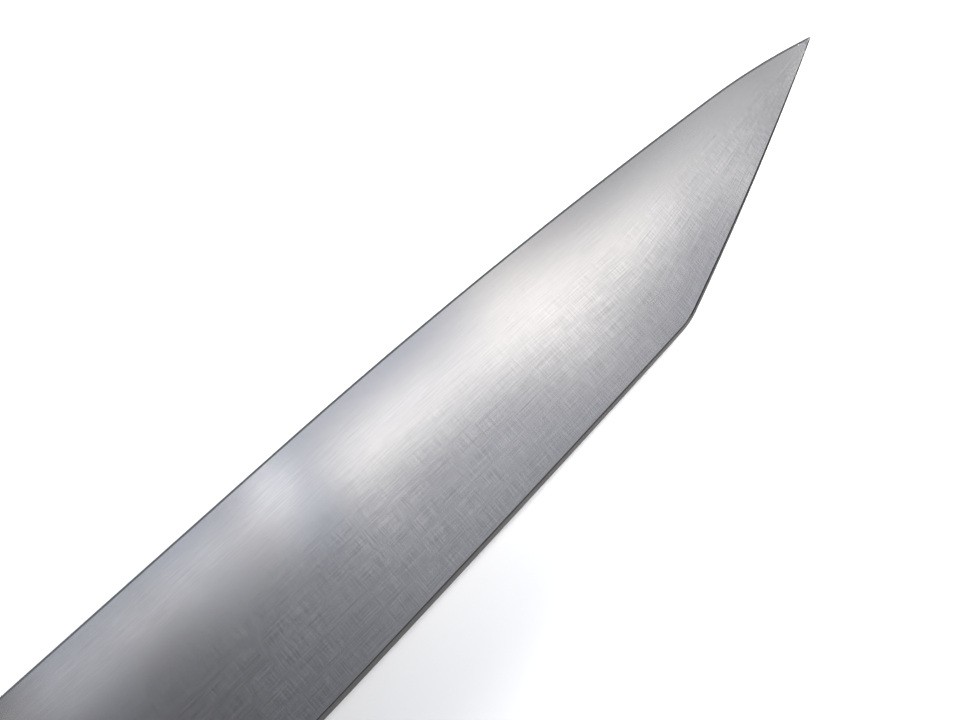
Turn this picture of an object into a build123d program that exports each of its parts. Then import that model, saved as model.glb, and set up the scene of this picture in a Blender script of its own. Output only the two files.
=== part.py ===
"""Angular (honesuki) boning knife with a riveted full-tang handle.

The knife lies on its right side. X runs along the handle to the point, Y from
the back to the cutting edge, and Z up out of the blade's left face. The origin
is at the middle of the knife's outline, on the flat of the right scale.
"""
import os
from math import asin, cos, degrees, radians, sin, tan

from build123d import *

os.makedirs("parts", exist_ok=True)

# --- driving dimensions, mm ---
blade_length = 150.0  # heel to point, along the straight of the edge
heel_height = 36.8  # edge to back, at the heel
edge_straight = 55.0  # straight stretch of the edge, from the heel
belly_radius = 830.0  # long shallow curve that follows it
point_run = 16.0  # last stretch of the edge, which curves more
point_run_radius = 84.0
knee_setback = 39.6  # point to knee, where the back turns to the point
knee_height = 26.3
knee_radius = 8.0
point_back_radius = 500.0  # the run from knee to point bulges slightly
back_radius = 3500.0  # and so does the back

spine_at_heel = 3.0  # blade thickness along the back
spine_at_knee = 1.5
tang_thickness = 3.2
behind_edge = 0.24  # thickness where the edge bevels start
face_crown = 0.12  # bulge of each ground face across the blade
edge_flat = 0.04  # what the two bevels leave between them
left_bevel_angle = 14.0
right_bevel_angle = 9.0
bevel_cut = 2.0  # reach of the bevelling cut over the face
spine_easing = 0.2

edge_angle = 4.0  # the edge climbs towards the back by this much
neck_length = 5.5  # heel to bolster, along the back
choil_radius = 6.0

handle_length = 118.0  # bolster front to butt
handle_thickness = 17.0
handle_front_height = 19.5
handle_back_straight = 62.0
butt_back_drop = 6.0
butt_belly_height = 27.5
butt_back_radius = 10.0
butt_belly_radius = 6.0
handle_rounding = 4.8
belly_points = [(-34.0, 20.8), (-66.0, 20.0), (-102.0, 24.8)]

bolster_length = 13.0
bolster_front_step = 1.3  # how far its front stands off the tang
bolster_scoop_radius = 11.0
bolster_crest_radius = 1.0  # softened ridge between the scoop and the flat

rivet_places = {"front": (-30.0, 10.3), "middle": (-63.0, 10.1), "rear": (-97.0, 13.1)}
rivet_head_diameter = 7.5
rivet_head_depth = 1.9
rivet_socket_diameter = 5.0
rivet_stem_diameter = 3.2
rivet_end_gap = 0.4  # room left at the end of the stem and of the socket

cut_margin = 2.0  # how far cutting shapes overrun what they cut
grind_overrun = 6.0  # how far the ground taper runs on past the neck
back_facing = -0.5  # walls whose normal points this far up the back belong to it

# --- derived sizes ---
half_thickness = handle_thickness / 2
half_tang = tang_thickness / 2
scale_thickness = half_thickness - half_tang
belly_turn = degrees(asin((blade_length - edge_straight - point_run) / belly_radius))
point_turn = degrees(asin(sin(radians(belly_turn)) + point_run / point_run_radius)) - belly_turn
point_drop = belly_radius * (1 - cos(radians(belly_turn))) + point_run_radius * (
    cos(radians(belly_turn)) - cos(radians(belly_turn + point_turn))
)
back_run = blade_length - knee_setback
back_slope = (heel_height - knee_height) / back_run - back_run / (2 * back_radius)
neck_height = heel_height + neck_length * back_slope

# --- placing: the heel would be at zero before the knife is centred ---
turn = radians(edge_angle)
neck_x = -neck_length * cos(turn) - neck_height * sin(turn)
neck_y = neck_length * sin(turn) - neck_height * cos(turn)
point_x = blade_length * cos(turn) - point_drop * sin(turn)
heel_x = -(point_x + neck_x - handle_length) / 2
heel_y = -neck_y / 2

blade_plane = Plane(
    origin=(heel_x, heel_y, half_thickness), x_dir=(cos(turn), -sin(turn), 0), z_dir=(0, 0, 1)
)
handle_plane = Plane(origin=(heel_x + neck_x, heel_y + neck_y, half_thickness))


def finish(part, name):
    part.label = name
    export_step(part, f"parts/{name}.step")
    print(f"{name}: {part.volume:.0f} mm3, valid {part.is_valid}")


def half_blade_thickness(along, height):
    """Half the ground blade's thickness, by the place along it and the height over the edge."""
    slope_at_heel = (spine_at_heel - behind_edge) / 2 / heel_height
    slope_at_knee = (spine_at_knee - behind_edge) / 2 / knee_height
    slope = slope_at_heel + (slope_at_knee - slope_at_heel) * along / back_run
    return behind_edge / 2 + slope * height


def handle_outline():
    """The side view of tang and scales, in the handle plane."""
    with BuildSketch(mode=Mode.PRIVATE) as outline:
        with BuildLine():
            back = Line((0, 0), (-handle_back_straight, 0))
            TangentArc((-handle_back_straight, 0), (-handle_length, butt_back_drop), tangent=(-1, 0))
            butt = Line((-handle_length, butt_back_drop), (-handle_length, butt_belly_height))
            belly = Spline((0, handle_front_height), *belly_points, butt @ 1)
            Line(belly @ 0, back @ 0)
        make_face()
        fillet(outline.vertices().sort_by_distance(butt @ 0)[0], butt_back_radius)
        fillet(outline.vertices().sort_by_distance(butt @ 1)[0], butt_belly_radius)
    return outline.sketch


# --- blade and full tang: one piece of steel ---
with BuildPart() as blade:
    with BuildSketch(blade_plane.offset(-half_tang)) as blade_outline:
        with BuildLine():
            straight = Line((0, 0), (edge_straight, 0))
            belly = JernArc(straight @ 1, straight % 1, belly_radius, -belly_turn)
            point = JernArc(belly @ 1, belly % 1, point_run_radius, -point_turn)
            knee = Vector(back_run, -knee_height)
            RadiusArc(point @ 1, knee, point_back_radius)
            neck_back = Vector(-neck_length, -neck_height)
            RadiusArc(knee, neck_back, back_radius)
            across_handle = Vector(-sin(turn), cos(turn))
            along_handle = Vector(cos(turn), sin(turn))
            neck_belly = neck_back + across_handle * handle_front_height
            choil = neck_belly - along_handle * (neck_belly.X / along_handle.X)
            Polyline(neck_back, neck_belly, choil, (0, 0))
        make_face()
        fillet(blade_outline.vertices().sort_by_distance(knee)[0], knee_radius)
        fillet(blade_outline.vertices().sort_by_distance(choil)[0], choil_radius)
    extrude(amount=tang_thickness)

    # Both faces are ground to a wedge, thinner at the point, with a slight crown.
    for side in (1, -1):
        for along in (-neck_length - grind_overrun, blade_length + cut_margin):
            section = Plane(
                origin=blade_plane.from_local_coords((along, 0, 0)),
                x_dir=blade_plane.y_dir,
                z_dir=blade_plane.x_dir,
            )
            with BuildSketch(section):
                with BuildLine():
                    edge_side = (cut_margin, side * half_blade_thickness(along, -cut_margin))
                    back_height = heel_height + 2 * cut_margin
                    back_side = (-back_height, side * half_blade_thickness(along, back_height))
                    SagittaArc(edge_side, back_side, -side * face_crown)
                    outside = side * handle_thickness
                    Polyline(back_side, (-back_height, outside), (cut_margin, outside), edge_side)
                make_face()
        loft(ruled=True, mode=Mode.SUBTRACT)

    back_walls = blade.faces().filter_by(lambda face: face.normal_at().Y < back_facing)
    fillet(back_walls.edges().filter_by(Axis.Z, reverse=True), spine_easing)

    # The edge bevels run the whole edge and get wider where the point is thicker.
    for side, angle in ((1, left_bevel_angle), (-1, right_bevel_angle)):
        heel_section = Plane(
            origin=blade_plane.origin, x_dir=blade_plane.y_dir, z_dir=blade_plane.x_dir
        )
        with BuildLine(blade_plane) as edge:
            along_edge = Line((0, 0), (edge_straight, 0))
            along_belly = JernArc(along_edge @ 1, (1, 0), belly_radius, -belly_turn)
            JernArc(along_belly @ 1, along_belly % 1, point_run_radius, -point_turn)
        with BuildSketch(heel_section):
            with BuildLine():
                rise = tan(radians(angle))
                outer = (cut_margin, side * (edge_flat / 2 - cut_margin * rise))
                inner = (-bevel_cut, side * (edge_flat / 2 + bevel_cut * rise))
                outside = side * half_thickness
                Polyline(outer, inner, (-bevel_cut, outside), (cut_margin, outside), outer)
            make_face()
        sweep(path=edge.wires()[0], mode=Mode.SUBTRACT)

    with BuildSketch(handle_plane.offset(-half_tang)):
        add(handle_outline())
    extrude(amount=tang_thickness)
    with BuildSketch(handle_plane):
        with Locations(*rivet_places.values()):
            Circle(rivet_socket_diameter / 2)
    extrude(amount=half_thickness, both=True, mode=Mode.SUBTRACT)
finish(blade.part, "blade")

# --- handle halves: a bolster half in front, a wooden scale behind it ---
with BuildPart() as left_half:
    with BuildSketch(handle_plane.offset(half_tang)):
        add(handle_outline())
    extrude(amount=scale_thickness)
    outer_rim = left_half.faces().sort_by(Axis.Z)[-1].edges().sort_by(Axis.X)
    fillet(outer_rim[:-1], handle_rounding)
    scoop_plane = Plane(origin=handle_plane.origin, x_dir=(1, 0, 0), z_dir=(0, -1, 0))
    with BuildSketch(scoop_plane):
        with Locations((0, half_tang + bolster_front_step + bolster_scoop_radius)):
            Circle(bolster_scoop_radius)
    extrude(amount=heel_height, both=True, mode=Mode.SUBTRACT)

bolster_back = Plane(origin=handle_plane.origin - Vector(bolster_length, 0, 0), z_dir=(1, 0, 0))

with BuildPart() as bolster_left:
    add(left_half.part)
    split(bisect_by=bolster_back, keep=Keep.TOP)
    crest = bolster_left.faces().sort_by(Axis.Z)[-1].edges().sort_by(Axis.X)[-1]
    fillet(crest, bolster_crest_radius)
finish(bolster_left.part, "bolster_left")

with BuildPart() as scale_left:
    add(left_half.part)
    split(bisect_by=bolster_back, keep=Keep.BOTTOM)
    with BuildSketch(handle_plane):
        with Locations(*rivet_places.values()):
            Circle(rivet_socket_diameter / 2)
    extrude(amount=half_thickness, mode=Mode.SUBTRACT)
    with BuildSketch(handle_plane.offset(half_thickness)):
        with Locations(*rivet_places.values()):
            Circle(rivet_head_diameter / 2)
    extrude(amount=-rivet_head_depth, mode=Mode.SUBTRACT)
finish(scale_left.part, "scale_left")

for left_part, name in ((bolster_left, "bolster_right"), (scale_left, "scale_right")):
    with BuildPart() as right_part:
        mirror(left_part.part, about=handle_plane)
    finish(right_part.part, name)

# --- cutler's rivets: a stem half from the left, driven into a socket half from the right ---
under_head = half_thickness - rivet_head_depth
for place, (along, across) in rivet_places.items():
    rivet_plane = Plane(origin=handle_plane.from_local_coords((along, across, 0)))
    with BuildPart() as stem:
        with BuildSketch(rivet_plane.offset(under_head)):
            Circle(rivet_head_diameter / 2)
        extrude(amount=rivet_head_depth)
        with BuildSketch(rivet_plane.offset(rivet_end_gap - under_head)):
            Circle(rivet_stem_diameter / 2)
        extrude(until=Until.NEXT)
    finish(stem.part, f"rivet_{place}_stem")
    with BuildPart() as socket:
        with BuildSketch(rivet_plane.offset(-half_thickness)):
            Circle(rivet_head_diameter / 2)
        extrude(amount=rivet_head_depth)
        with BuildSketch(rivet_plane.offset(-under_head)):
            Circle(rivet_socket_diameter / 2)
            Circle(rivet_stem_diameter / 2, mode=Mode.SUBTRACT)
        extrude(amount=2 * under_head - rivet_end_gap)
    finish(socket.part, f"rivet_{place}_socket")
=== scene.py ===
import math

import bmesh
import bpy
import numpy as np
from mathutils import Matrix, Vector


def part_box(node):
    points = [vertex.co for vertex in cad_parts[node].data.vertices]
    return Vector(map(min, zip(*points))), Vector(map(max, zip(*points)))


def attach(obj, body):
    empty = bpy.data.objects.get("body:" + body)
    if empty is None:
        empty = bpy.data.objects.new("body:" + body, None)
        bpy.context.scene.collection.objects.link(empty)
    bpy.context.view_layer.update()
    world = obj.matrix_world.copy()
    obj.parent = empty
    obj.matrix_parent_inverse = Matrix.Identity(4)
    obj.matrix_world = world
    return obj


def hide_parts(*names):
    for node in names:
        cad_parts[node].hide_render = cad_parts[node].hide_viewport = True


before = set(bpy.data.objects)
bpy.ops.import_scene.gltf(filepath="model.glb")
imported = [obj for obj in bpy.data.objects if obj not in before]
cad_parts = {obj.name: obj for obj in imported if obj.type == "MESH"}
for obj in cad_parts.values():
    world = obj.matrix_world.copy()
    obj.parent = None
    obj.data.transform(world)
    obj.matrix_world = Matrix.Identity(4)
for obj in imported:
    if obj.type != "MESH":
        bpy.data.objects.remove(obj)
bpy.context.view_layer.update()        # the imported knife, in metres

bladeLow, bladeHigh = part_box("blade")
_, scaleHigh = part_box("scale_left")
midZ = (bladeLow.z + bladeHigh.z) / 2
print("frame loaded, blade box", [round(v, 4) for v in (*bladeLow, *bladeHigh)])

# sizes in metres, angles in degrees; "along" runs from the heel to the point, "across" from edge to back
blade = {
    "length": 0.150,
    "heelHeight": 0.0368,
    "edgeStraight": 0.055,
    "bellyRadius": 0.830,
    "pointRun": 0.016,
    "pointRunRadius": 0.084,
    "kneeSetback": 0.0396,
    "kneeHeight": 0.0263,
    "kneeBlend": 0.00055,  # how much the knee is rounded off
    "pointBackRadius": 0.5,
    "backRadius": 3.5,
    "spineAtHeel": 0.0030,
    "spineAtKnee": 0.0015,
    "behindEdge": 0.00018,
    "pointThinning": 0.0012,  # below this width the section keeps its shape and shrinks
    "crownRadius": 1.4,  # the ground faces bulge by this radius
    "edgeFlat": 0.00003,
    "leftBevelAngle": 14.0,
    "rightBevelAngle": 9.0,
    "easing": 0.00020,  # broken corners of the back
    "pointBlunt": 0.00015,
    "edgeAngle": 4.0,  # the edge climbs towards the back
    "neckLength": 0.0055,
    "choilRadius": 0.006,
    "support": 0.00005,  # narrow rows that keep the corners crisp
    "bevelLimit": 0.35,  # near the point these three take at most these parts of the width
    "easingLimit": 0.25,
    "supportLimit": 0.1,
    "cornerDepth": 0.6,  # most of the half thickness that an eased corner takes
    "cornerMiddle": (0.6, 0.2),  # where it rolls over, as parts of its width and depth
    "cornerEnd": 0.85,
    "columnStep": 0.0010,
    "leastStep": 0.00008,
    "kneeReach": 0.004,  # closer columns this far either side of the knee
    "kneeColumns": 33,
    "pointReach": 0.005,
    "pointColumns": 24,
    "faceRows": 28,
    "heelRows": 9,  # of the face rows, those that end at the heel's own edge
    "neckColumns": 14,
    "tangHoleSegments": 32,
    "kneeShadeFade": 0.001,  # stretch over which the back's painted shade deepens past the knee
    # the tang takes this share of the back's painted shade and of its roughness
    "tangFinish": 0.3,
    "sideShift": 0.5,  # gives the two sides different marks
}

handle = {
    "length": 0.118,
    "frontHeight": 0.0195,
    "backStraight": 0.062,
    "buttBackDrop": 0.006,
    "buttBackRadius": 0.010,
    "buttBellyRadius": 0.006,
    "bellyPoints": [(0, 0.0195), (0.034, 0.0208), (0.066, 0.0200), (0.102, 0.0248), (0.118, 0.0275)],
    "halfThickness": scaleHigh.z - midZ,
    "tangHalf": (bladeHigh.z - bladeLow.z) / 2,
    "rounding": 0.0048,
    "roundingSteps": 9,
    "pointStep": 0.0012,
    "bellySamples": 400,
    "slopeSamples": 40,  # last stretch of the belly, which sets its slope at the butt
    "backArcPoints": 36,
    "buttBackPoints": 14,
    "buttBellyPoints": 12,
    "buttPoints": 6,
}

rivet = {
    "places": {"front": (0.030, 0.0103), "middle": (0.063, 0.0101), "rear": (0.097, 0.0131)},
    "headRadius": 0.00375,
    "headDepth": 0.0019,
    "socketRadius": 0.0025,
    "stemRadius": 0.0016,
    "endGap": 0.0004,
    "ease": 0.00012,
    "easeRoll": 0.3,
    "dome": 0.00003,
    "segments": 64,
    "tone": ((0.56, 0.55, 0.54), (0.68, 0.67, 0.655)),
    "roughness": (0.12, 0.24),
    "heightRange": (0.0, 1.2),
    "marks": {"Along": 300.0, "Across": 9000.0, "Cross Marks": 0.6},
    "marksTurn": 0.35,
    "handlingSize": 260.0,
    "smudgeShare": -0.4,
    "bump": 0.12,
    "bumpDistance": 0.00001,
}

turn = math.radians(blade["edgeAngle"])
kneeAlong = blade["length"] - blade["kneeSetback"]
bellyEnd = blade["length"] - blade["pointRun"]
bellyTurn = math.asin((bellyEnd - blade["edgeStraight"]) / blade["bellyRadius"])


def edgeDrop(along):  # how far the edge has left its straight line
    if along <= blade["edgeStraight"]:
        return 0.0
    if along <= bellyEnd:
        run = along - blade["edgeStraight"]
        return blade["bellyRadius"] - math.sqrt(blade["bellyRadius"] ** 2 - run ** 2)
    drop = blade["bellyRadius"] * (1 - math.cos(bellyTurn))
    angle = math.asin(math.sin(bellyTurn) + (along - bellyEnd) / blade["pointRunRadius"])
    return drop + blade["pointRunRadius"] * (math.cos(bellyTurn) - math.cos(angle))


def bulgedChord(along, start, end, radius):  # a shallow arc between two (along, across) points
    slope = (end[1] - start[1]) / (end[0] - start[0])
    bulge = (along - start[0]) * (end[0] - along) / (2 * radius) * (1 + slope ** 2) ** 1.5
    return start[1] + slope * (along - start[0]) + bulge


def smoothMin(a, b, blend):
    return min(a, b) - max(blend - abs(a - b), 0) ** 2 / (4 * blend)


pointDrop = edgeDrop(blade["length"])
backSlope = (blade["heelHeight"] - blade["kneeHeight"]) / kneeAlong - kneeAlong / (2 * blade["backRadius"])
neckHeight = blade["heelHeight"] + blade["neckLength"] * backSlope


def backHeight(along):
    neck = (-blade["neckLength"], neckHeight)
    knee = (kneeAlong, blade["kneeHeight"])
    point = (blade["length"], pointDrop)
    onBack = bulgedChord(along, neck, knee, blade["backRadius"])
    onPoint = bulgedChord(along, knee, point, blade["pointBackRadius"])
    return smoothMin(onBack, onPoint, blade["kneeBlend"])


def faceSlope(along):
    kneeDepth = blade["kneeHeight"] - edgeDrop(kneeAlong)
    atHeel = (blade["spineAtHeel"] - blade["behindEdge"]) / 2 / blade["heelHeight"]
    atKnee = (blade["spineAtKnee"] - blade["behindEdge"]) / 2 / kneeDepth
    return atHeel + (atKnee - atHeel) * along / kneeAlong


def halfThickness(along, across):
    depth = across - edgeDrop(along)
    span = backHeight(along) - edgeDrop(along)
    crown = depth * (span - depth) / (2 * blade["crownRadius"])
    shrink = min(max(span, 0) / blade["pointThinning"], 1)
    return shrink * blade["behindEdge"] / 2 + faceSlope(along) * depth + crown


heelX = bladeHigh.x - blade["length"] * math.cos(turn) + pointDrop * math.sin(turn)
heelY = bladeHigh.y


def bladePoint(along, across, z):
    x = heelX + along * math.cos(turn) - across * math.sin(turn)
    y = heelY - along * math.sin(turn) - across * math.cos(turn)
    return Vector((x, y, midZ + z))


def toBlade(x, y):
    dx, dy = x - heelX, y - heelY
    return dx * math.cos(turn) - dy * math.sin(turn), -dx * math.sin(turn) - dy * math.cos(turn)


handleFront = bladePoint(-blade["neckLength"], neckHeight, 0)  # where back and bolster meet


def handlePoint(behind, down, z):  # "behind" the bolster's front, "down" from the back to the belly
    return Vector((handleFront.x - behind, handleFront.y + down, midZ + z))


def newObject(name, bm, material, body="root", replaced=()):
    mesh = bpy.data.meshes.new(name)
    bm.normal_update()
    bm.to_mesh(mesh)
    bm.free()
    piece = bpy.data.objects.new(name, mesh)
    bpy.context.scene.collection.objects.link(piece)
    mesh.materials.append(material)
    mesh.shade_smooth()
    if body:
        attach(piece, body)
        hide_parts(*replaced)
    print("made", name, len(mesh.polygons), "faces")
    return piece


def joinRows(bm, rows, closed=False):  # quads between neighbouring rows of vertices
    for first, second in zip(rows, rows[1:]):
        count = len(first)
        for i in range(count if closed else count - 1):
            j = (i + 1) % count
            corners = [first[i], first[j], second[j], second[i]]
            corners = [v for n, v in enumerate(corners) if v not in corners[:n]]
            if len(corners) > 2:
                bm.faces.new(corners)


def loopEdges(bm, ring):
    found = []
    for a, b in zip(ring, ring[1:] + ring[:1]):
        found.append(bm.edges.get((a, b)) or bm.edges.new((a, b)))
    return found


def fillFlat(bm, rings):  # a flat face with holes
    edges = [e for ring in rings for e in loopEdges(bm, ring)]
    bmesh.ops.triangle_fill(bm, use_beauty=True, edges=edges)


def markSharp(bm, ring, closed=False):
    pairs = zip(ring, ring[1:] + ring[:1]) if closed else zip(ring, ring[1:])
    for a, b in pairs:
        edge = bm.edges.get((a, b))
        if edge:
            edge.smooth = False


def fixNormals(bm):
    bmesh.ops.recalc_face_normals(bm, faces=bm.faces)


def naturalSpline(points, count):  # a cubic curve through the points, with straight ends
    points = np.array(points, float)
    steps = np.linalg.norm(np.diff(points, axis=0), axis=1)
    at = np.concatenate(([0], np.cumsum(steps)))
    size = len(points)
    matrix = np.eye(size)
    right = np.zeros((size, 2))
    for i in range(1, size - 1):
        matrix[i, i - 1:i + 2] = (steps[i - 1], 2 * (steps[i - 1] + steps[i]), steps[i])
        right[i] = 6 * ((points[i + 1] - points[i]) / steps[i] - (points[i] - points[i - 1]) / steps[i - 1])
    bend = np.linalg.solve(matrix, right)
    samples = []
    for s in np.linspace(0, at[-1], count):
        i = min(int(np.searchsorted(at, s, side="right")) - 1, size - 2)
        h, a, b = steps[i], at[i + 1] - s, s - at[i]
        value = bend[i] * a ** 3 / (6 * h) + bend[i + 1] * b ** 3 / (6 * h)
        value += (points[i] / h - bend[i] * h / 6) * a + (points[i + 1] / h - bend[i + 1] * h / 6) * b
        samples.append(value)
    return np.array(samples)


bellyCurve = naturalSpline(handle["bellyPoints"], handle["bellySamples"])
arcReach = handle["length"] - handle["backStraight"]
backArcRadius = (arcReach ** 2 + handle["buttBackDrop"] ** 2) / (2 * handle["buttBackDrop"])


def bellyDown(behind):
    return float(np.interp(behind, bellyCurve[:, 0], bellyCurve[:, 1]))


def arcPoints(centre, radius, startAngle, endAngle, count):
    angles = np.linspace(startAngle, endAngle, count)
    return [(centre[0] + radius * math.cos(a), centre[1] + radius * math.sin(a)) for a in angles]


def handleOutline(front):
    # from the back at the front plane, round the butt, to the belly at the front plane
    step = handle["pointStep"]
    length = handle["length"]
    points = []
    flat = np.linspace(front, handle["backStraight"], int((handle["backStraight"] - front) / step))
    points += [(b, 0.0) for b in flat]
    radius = handle["buttBackRadius"]
    reach = length - radius - handle["backStraight"]
    down = backArcRadius - math.sqrt((backArcRadius - radius) ** 2 - reach ** 2)
    tilt = math.atan2(down - backArcRadius, reach)
    arcCentre = (handle["backStraight"], backArcRadius)
    points += arcPoints(arcCentre, backArcRadius, -math.pi / 2, tilt, handle["backArcPoints"])[1:]
    points += arcPoints((length - radius, down), radius, tilt, 0, handle["buttBackPoints"])[1:]
    radius = handle["buttBellyRadius"]
    start, end = bellyCurve[-handle["slopeSamples"]], bellyCurve[-1]
    slope = (end[1] - start[1]) / (end[0] - start[0])
    lift = math.sqrt(1 + slope ** 2)
    centre = (length - radius, end[1] - slope * radius - radius * lift)
    corner = arcPoints(centre, radius, 0, math.pi / 2 + math.atan(slope), handle["buttBellyPoints"])
    butt = np.linspace(points[-1][1], corner[0][1], handle["buttPoints"])[1:-1]
    points += [(length, d) for d in butt]
    points += corner
    belly = np.arange(corner[-1][0] - step, front, -step)
    points += [(b, bellyDown(b)) for b in belly if b - front > step / 3]
    points.append((front, bellyDown(front)))
    return points


def outlineNormals(points):  # inward, and straight across at the two ends on the front plane
    normals = []
    for i in range(len(points)):
        if i == 0:
            normals.append((0.0, 1.0))
        elif i == len(points) - 1:
            normals.append((0.0, -1.0))
        else:
            (ax, ay), (bx, by) = points[i - 1], points[i + 1]
            size = math.hypot(bx - ax, by - ay)
            normals.append((-(by - ay) / size, (bx - ax) / size))
    return normals


def circlePoints(centre, radius, count):
    angles = [2 * math.pi * i / count for i in range(count)]
    return [(centre[0] + radius * math.cos(a), centre[1] + radius * math.sin(a)) for a in angles]


def ringAt(bm, points, z):  # points as (behind, down)
    return [bm.verts.new(handlePoint(b, d, z)) for b, d in points]


def addNode(tree, kind, **values):
    node = tree.nodes.new(kind)
    for name, value in values.items():
        setattr(node, name, value)
    return node


def link(tree, source, target):
    tree.links.new(source, target)


def newGroup(name, inputs, outputs):
    group = bpy.data.node_groups.new(name, "ShaderNodeTree")
    for label, kind, default in inputs:
        socket = group.interface.new_socket(label, in_out="INPUT", socket_type=kind)
        if default is not None:
            socket.default_value = default
    for label, kind in outputs:
        group.interface.new_socket(label, in_out="OUTPUT", socket_type=kind)
    return group, addNode(group, "NodeGroupInput"), addNode(group, "NodeGroupOutput")


def mathNode(tree, operation, first, second=None, third=None, clamp=False):
    node = addNode(tree, "ShaderNodeMath", operation=operation, use_clamp=clamp)
    for socket, value in zip(node.inputs, (first, second, third)):
        if value is None:
            continue
        if isinstance(value, (int, float)):
            socket.default_value = value
        else:
            link(tree, value, socket)
    return node.outputs[0]


def mapRange(tree, value, fromMin, fromMax, toMin, toMax):
    node = addNode(tree, "ShaderNodeMapRange", clamp=True)
    link(tree, value, node.inputs["Value"])
    for name, number in zip(("From Min", "From Max", "To Min", "To Max"), (fromMin, fromMax, toMin, toMax)):
        node.inputs[name].default_value = number
    return node.outputs["Result"]


def mixColor(tree, factor, first, second, blend="MIX"):
    node = addNode(tree, "ShaderNodeMix", data_type="RGBA", blend_type=blend)
    for socket, value in ((node.inputs[0], factor), (node.inputs[6], first), (node.inputs[7], second)):
        if isinstance(value, (int, float)):
            socket.default_value = value
        elif isinstance(value, tuple):
            socket.default_value = (*value, 1.0)
        else:
            link(tree, value, socket)
    return node.outputs[2]


def noise(tree, vector, scale, detail=2.0, roughness=0.5, distortion=0.0):
    node = addNode(tree, "ShaderNodeTexNoise")
    node.inputs["Scale"].default_value = scale
    node.inputs["Detail"].default_value = detail
    node.inputs["Roughness"].default_value = roughness
    node.inputs["Distortion"].default_value = distortion
    link(tree, vector, node.inputs["Vector"])
    return node.outputs["Fac"]


grind = {
    "fineShare": (1.0, 1.0),  # of the scales along and across
    "coarseShare": (0.35, 0.3),
    "crossShare": (1.4, 1.3),
    "markRange": (0.3, 0.7),
    "coarseRange": (0.35, 0.65),
    "patchScale": 55.0,  # the cross marks come and go in patches
    "patchLeast": 0.6,
    "noiseRoughness": 0.6,
    "heights": (0.6, 0.4, 0.3),  # of fine, coarse and cross marks
}


# grinding marks: long thin streaks, a coarser set, and faint marks across them
def makeGrindMarks():
    group, start, end = newGroup(
        "grindMarks",
        [
            ("Vector", "NodeSocketVector", None),
            ("Along", "NodeSocketFloat", 240.0),
            ("Across", "NodeSocketFloat", 5000.0),
            ("Cross Marks", "NodeSocketFloat", 0.3),
        ],
        [
            ("Fine", "NodeSocketFloat"),
            ("Coarse", "NodeSocketFloat"),
            ("Cross", "NodeSocketFloat"),
            ("Height", "NodeSocketFloat"),
        ],
    )
    split = addNode(group, "ShaderNodeSeparateXYZ")
    link(group, start.outputs["Vector"], split.inputs[0])
    along, across = start.outputs["Along"], start.outputs["Across"]

    def layer(scales, shares, detail):
        joined = addNode(group, "ShaderNodeCombineXYZ")
        for n in range(2):
            amount = mathNode(group, "MULTIPLY", scales[n], shares[n])
            link(group, mathNode(group, "MULTIPLY", split.outputs[n], amount), joined.inputs[n])
        link(group, split.outputs[2], joined.inputs[2])
        return noise(group, joined.outputs[0], 1.0, detail, grind["noiseRoughness"])

    fine = layer((along, across), grind["fineShare"], 2.0)
    fine = mapRange(group, fine, *grind["markRange"], 0.0, 1.0)
    coarse = layer((along, across), grind["coarseShare"], 2.0)
    coarse = mapRange(group, coarse, *grind["coarseRange"], 0.0, 1.0)
    cross = layer((across, along), grind["crossShare"], 1.0)
    cross = mapRange(group, cross, *grind["markRange"], 0.0, 1.0)
    patches = noise(group, start.outputs["Vector"], grind["patchScale"], 1.0)
    patches = mapRange(group, patches, *grind["markRange"], grind["patchLeast"], 1.0)
    patches = mathNode(group, "MULTIPLY", patches, start.outputs["Cross Marks"])
    cross = mathNode(group, "MULTIPLY", cross, patches)
    fineHeight, coarseHeight, crossHeight = grind["heights"]
    height = mathNode(group, "MULTIPLY", fine, fineHeight)
    height = mathNode(group, "MULTIPLY_ADD", coarse, coarseHeight, height)
    height = mathNode(group, "MULTIPLY_ADD", cross, crossHeight, height)
    link(group, fine, end.inputs["Fine"])
    link(group, coarse, end.inputs["Coarse"])
    link(group, cross, end.inputs["Cross"])
    link(group, height, end.inputs["Height"])
    return group


marksOfUse = {
    "smudgeDetail": (4.0, 0.55, 0.4),  # of the noise: detail, roughness and distortion
    "smudgeRange": (0.4, 0.68),
    "speckScale": 30.0,
    "speckRange": (0.72, 0.80),
}


# handling: soft smudges left by fingers and cloths, and a few small specks
def makeHandling():
    group, start, end = newGroup(
        "handling",
        [("Vector", "NodeSocketVector", None), ("Size", "NodeSocketFloat", 90.0)],
        [("Smudge", "NodeSocketFloat"), ("Specks", "NodeSocketFloat")],
    )
    scaled = addNode(group, "ShaderNodeVectorMath", operation="SCALE")
    link(group, start.outputs["Vector"], scaled.inputs[0])
    link(group, start.outputs["Size"], scaled.inputs["Scale"])
    smudge = noise(group, scaled.outputs[0], 1.0, *marksOfUse["smudgeDetail"])
    smudge = mapRange(group, smudge, *marksOfUse["smudgeRange"], 0.0, 1.0)
    specks = noise(group, scaled.outputs[0], marksOfUse["speckScale"], 1.0)
    specks = mapRange(group, specks, *marksOfUse["speckRange"], 0.0, 1.0)
    link(group, smudge, end.inputs["Smudge"])
    link(group, specks, end.inputs["Specks"])
    return group


grindMarks = makeGrindMarks()
handling = makeHandling()


def startMaterial(name):
    material = bpy.data.materials.new(name)
    material.use_nodes = True
    tree = material.node_tree
    shader = next(n for n in tree.nodes if n.type == "BSDF_PRINCIPLED")
    return material, tree, shader


def addBump(tree, shader, height, strength, distance):
    bump = addNode(tree, "ShaderNodeBump")
    bump.inputs["Strength"].default_value = strength
    bump.inputs["Distance"].default_value = distance
    link(tree, height, bump.inputs["Height"])
    link(tree, bump.outputs["Normal"], shader.inputs["Normal"])


def placeGroup(tree, group, vector, values):
    node = addNode(tree, "ShaderNodeGroup", node_tree=group)
    link(tree, vector, node.inputs["Vector"])
    for name, value in values.items():
        node.inputs[name].default_value = value
    return node


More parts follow.
